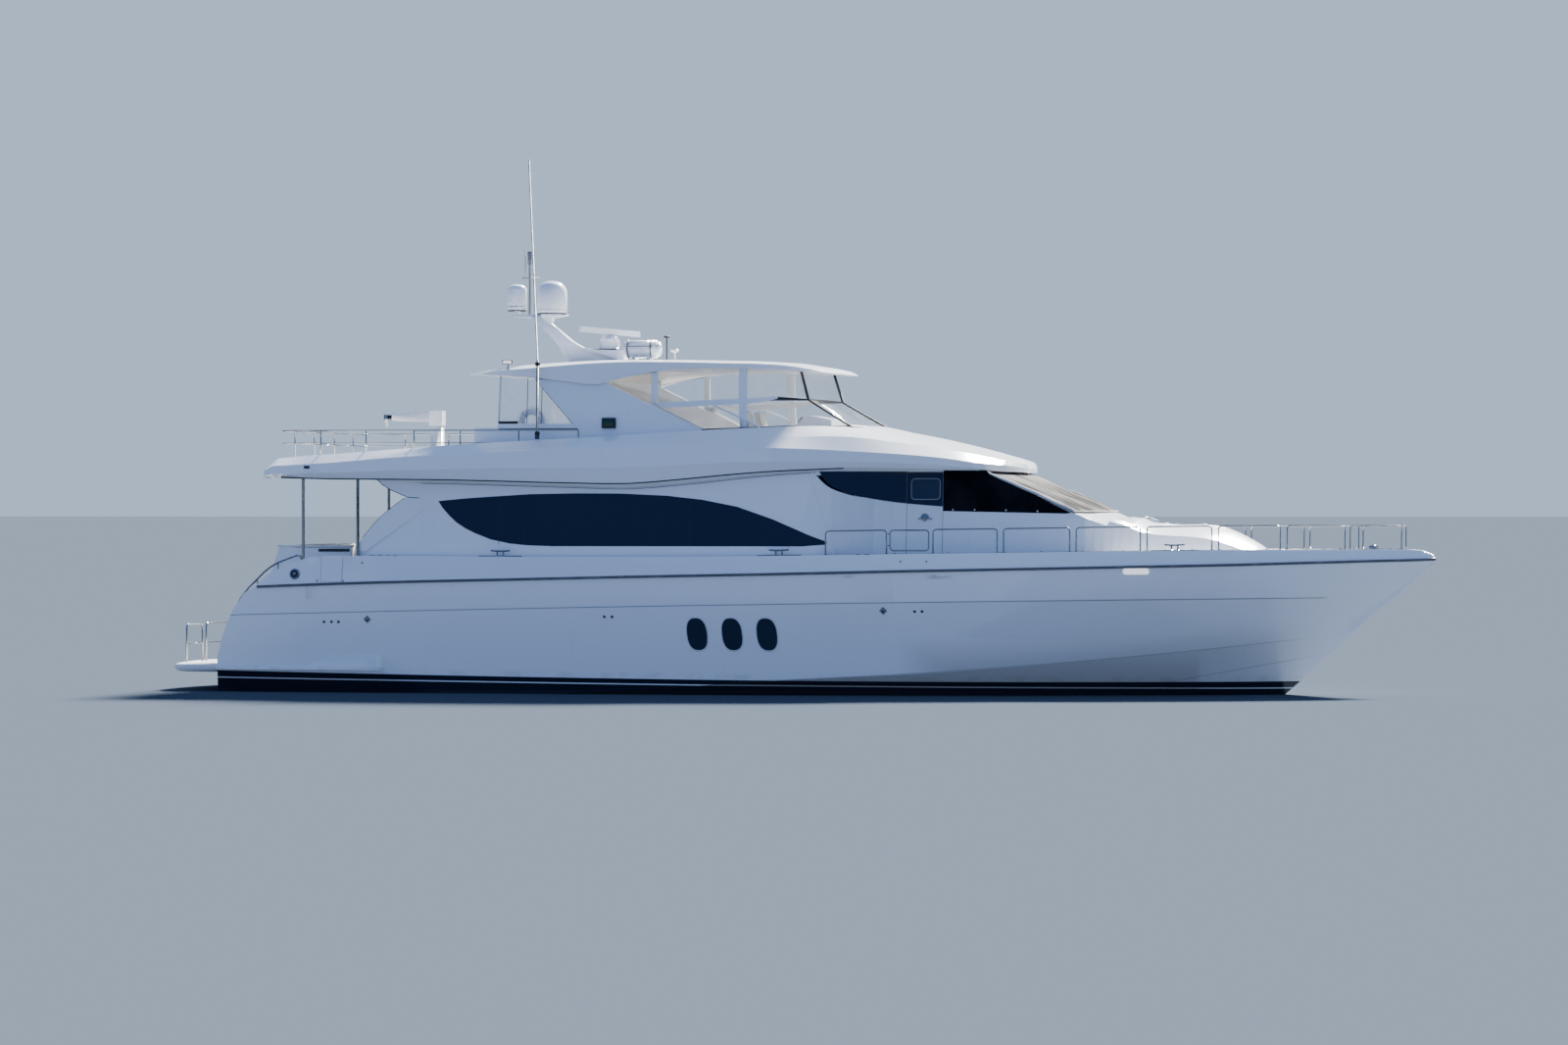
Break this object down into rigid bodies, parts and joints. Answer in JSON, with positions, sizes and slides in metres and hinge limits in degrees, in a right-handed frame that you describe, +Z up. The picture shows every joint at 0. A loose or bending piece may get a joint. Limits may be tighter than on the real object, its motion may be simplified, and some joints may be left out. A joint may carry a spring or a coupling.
{
  "type": "motor yacht",
  "caption": "Raised-pilothouse motor yacht with a wide salon, flybridge under a hardtop, boat-deck davit, radar mast, swim platform, twin propellers and rudders.",
  "frame": {"origin": "amidships on the centreline, at the waterline", "axes": "+X towards the bow, +Y to port, +Z up"},
  "size_m": [24.4525, 6.565, 11.7353],
  "materials": {
    "gelcoat": "white gelcoat over moulded fibreglass",
    "deck": "non-skid deck",
    "strake": "dark grey rubbing moulding",
    "dark_glass": "tinted glass",
    "clear_glass": "clear sheet",
    "mesh_cover": "stretched grey mesh cloth",
    "stainless": "polished stainless tube",
    "bronze": "cast bronze",
    "vinyl": "marine vinyl"
  },
  "bodies": {
    "boat": {"aft_settee": "vinyl", "aft_side_window_port": "dark_glass", "aft_side_window_starboard": "dark_glass", "boat_deck_rail": "stainless", "bow_rail_port": "stainless", "bow_rail_starboard": "stainless", "bridge_console": "gelcoat", "bridge_frame": "gelcoat", "bridge_glass": "clear_glass", "bridge_moulding": "gelcoat", "bridge_settee": "vinyl", "bulwark_port": "gelcoat", "bulwark_starboard": "gelcoat", "davit_column": "gelcoat", "dome_large": "gelcoat", "dome_small": "gelcoat", "forward_side_window_port": "dark_glass", "forward_side_window_starboard": "dark_glass", "hardtop": "gelcoat", "hardtop_wing_port": "gelcoat", "hardtop_wing_starboard": "gelcoat", "helm_seat_port": "vinyl", "helm_seat_starboard": "vinyl", "hull": "gelcoat", "liferaft": "gelcoat", "mast": "gelcoat", "pilothouse_side_port": "gelcoat", "pilothouse_side_starboard": "gelcoat", "platform_rail_long": "stainless", "platform_rail_short": "stainless", "rubbing_strake": "strake", "salon_bulkhead": "gelcoat", "salon_side_port": "gelcoat", "salon_side_starboard": "gelcoat", "salon_window_port": "dark_glass", "salon_window_starboard": "dark_glass", "shaft_port": "bronze", "shaft_starboard": "bronze", "stern_moulding": "gelcoat", "swim_platform": "deck", "trunk": "gelcoat", "whip_antenna": "gelcoat", "windlass": "stainless", "windscreen": "dark_glass", "windscreen_cover": "mesh_cover"},
    "propeller_starboard": {"propeller_starboard": "bronze"},
    "propeller_port": {"propeller_port": "bronze"},
    "rudder_starboard": {"rudder_starboard": "bronze"},
    "rudder_port": {"rudder_port": "bronze"},
    "radar_array": {"radar_array": "gelcoat"},
    "davit_boom": {"davit_boom": "gelcoat"},
    "davit_reach": {"davit_reach": "stainless"},
    "side_door_starboard": {"side_door_starboard": "gelcoat"},
    "side_door_port": {"side_door_port": "gelcoat"},
    "boarding_gate_starboard": {"boarding_gate_starboard": "gelcoat"},
    "boarding_gate_port": {"boarding_gate_port": "gelcoat"},
    "rail_gate_starboard": {"rail_gate_starboard": "stainless"},
    "rail_gate_port": {"rail_gate_port": "stainless"},
    "transom_door": {"transom_door": "gelcoat"},
    "salon_door": {"salon_door": "dark_glass"}
  },
  "joints": [
    {"name": "propeller_starboard_turn", "type": "hinge", "parent": "boat", "child": "propeller_starboard", "pos_m": [-9.18, -1.25, -1.199], "axis": [0.9903, 0, 0.1392], "continuous": true},
    {"name": "propeller_port_turn", "type": "hinge", "parent": "boat", "child": "propeller_port", "pos_m": [-9.18, 1.25, -1.199], "axis": [0.9903, 0, 0.1392], "continuous": true},
    {"name": "rudder_starboard_turn", "type": "hinge", "parent": "boat", "child": "rudder_starboard", "pos_m": [-9.95, -1.25, -1.1], "axis": [0, 0, 1], "range_deg": [-35, 35]},
    {"name": "rudder_port_turn", "type": "hinge", "parent": "boat", "child": "rudder_port", "pos_m": [-9.95, 1.25, -1.1], "axis": [0, 0, 1], "range_deg": [-35, 35]},
    {"name": "radar_turn", "type": "hinge", "parent": "boat", "child": "radar_array", "pos_m": [-3.79, 0, 6.83], "axis": [0.0872, 0, 0.9962], "continuous": true},
    {"name": "davit_slew", "type": "hinge", "parent": "boat", "child": "davit_boom", "pos_m": [-7.26, 0, 5.12], "axis": [0, 0, 1], "range_deg": [-170, 170]},
    {"name": "davit_extend", "type": "slide", "parent": "davit_boom", "child": "davit_reach", "axis": [-1, 0, 0], "range_m": [0, 0.6]},
    {"name": "side_door_starboard_swing", "type": "hinge", "parent": "boat", "child": "side_door_starboard", "pos_m": [3.252, -2.2881, 2.338], "axis": [0, 0.0748, 0.9972], "range_deg": [0, 50]},
    {"name": "side_door_port_swing", "type": "hinge", "parent": "boat", "child": "side_door_port", "pos_m": [3.252, 2.2881, 2.338], "axis": [0, -0.0748, 0.9972], "range_deg": [-50, 0]},
    {"name": "boarding_gate_starboard_swing", "type": "hinge", "parent": "boat", "child": "boarding_gate_starboard", "pos_m": [-8.687, -3.0426, 2.123], "axis": [0, 0.1747, 0.9846], "range_deg": [-95, 0]},
    {"name": "boarding_gate_port_swing", "type": "hinge", "parent": "boat", "child": "boarding_gate_port", "pos_m": [-8.687, 3.0426, 2.123], "axis": [0, -0.1747, 0.9846], "range_deg": [0, 95]},
    {"name": "rail_gate_starboard_swing", "type": "hinge", "parent": "boat", "child": "rail_gate_starboard", "pos_m": [2.415, -3.013, 2.9], "axis": [0, 0, 1], "range_deg": [0, 65]},
    {"name": "rail_gate_port_swing", "type": "hinge", "parent": "boat", "child": "rail_gate_port", "pos_m": [2.415, 3.013, 2.9], "axis": [0, 0, 1], "range_deg": [-65, 0]},
    {"name": "transom_door_swing", "type": "hinge", "parent": "boat", "child": "transom_door", "pos_m": [-10.6036, 0.342, 0.7362], "axis": [0.3302, 0, 0.9439], "range_deg": [-105, 0]},
    {"name": "salon_door_slide", "type": "slide", "parent": "boat", "child": "salon_door", "axis": [0, 1, 0], "range_m": [0, 1.2]}
  ],
  "couplings": [
    {"joint": "rudder_port_turn", "follows": "rudder_starboard_turn", "ratio": 1}
  ]
}
